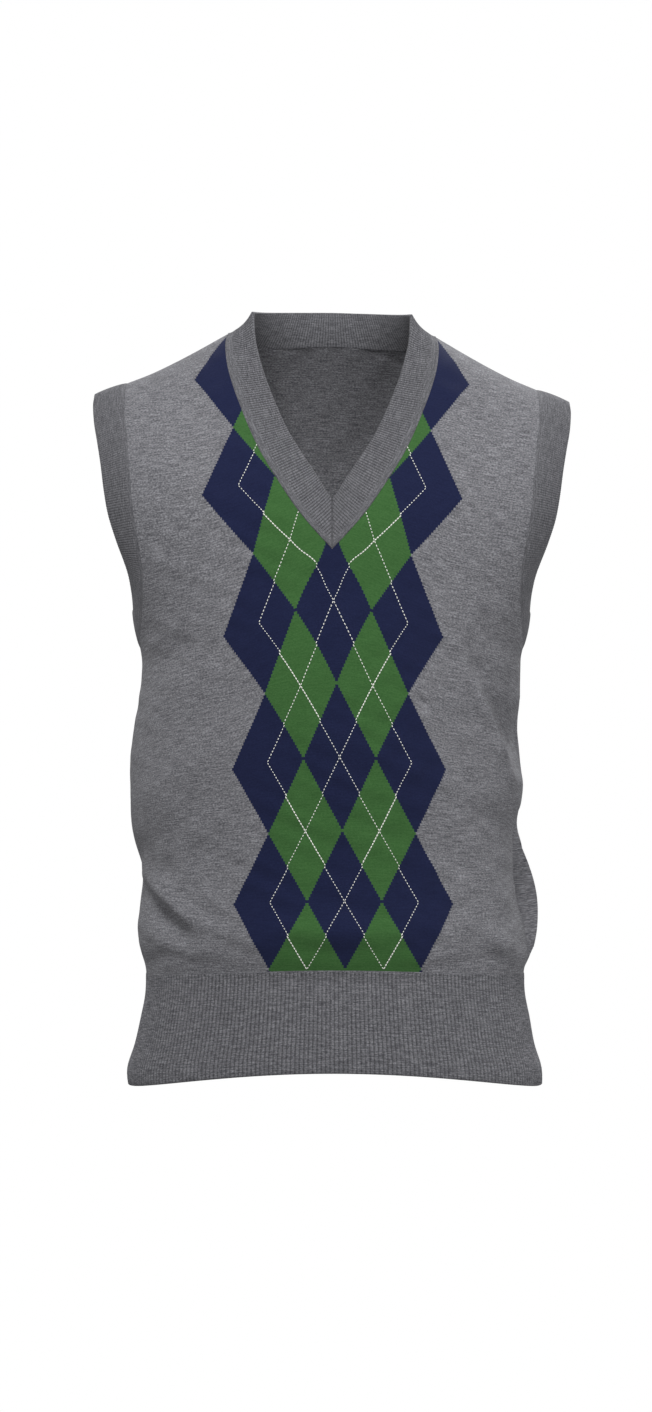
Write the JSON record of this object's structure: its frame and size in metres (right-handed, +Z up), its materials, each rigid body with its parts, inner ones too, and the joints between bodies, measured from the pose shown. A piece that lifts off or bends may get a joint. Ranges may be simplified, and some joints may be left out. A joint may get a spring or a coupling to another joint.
{
  "type": "argyle v-neck sweater vest",
  "caption": "Fine-knit sleeveless V-neck vest with a ribbed neck, armholes and deep hem and an argyle front, worn open and hollow.",
  "frame": {"origin": "on the middle line of the vest, level with the shoulder ridge beside the neck and above the side seams, where the wearer's shoulders hold it", "axes": "+Z up, +Y towards the wearer's back so the argyle front faces -Y, +X towards the wearer's left"},
  "size_m": [0.391, 0.2392, 0.6373],
  "materials": {
    "grey_knit_argyle": "matte",
    "grey_knit": "matte",
    "grey_rib": "matte"
  },
  "bodies": {
    "root": {"front": "grey_knit_argyle", "back": "grey_knit", "neckband": "grey_rib", "armband_right": "grey_rib", "armband_left": "grey_rib", "hem_rib_front": "grey_rib", "hem_rib_back": "grey_rib"}
  },
  "joints": []
}
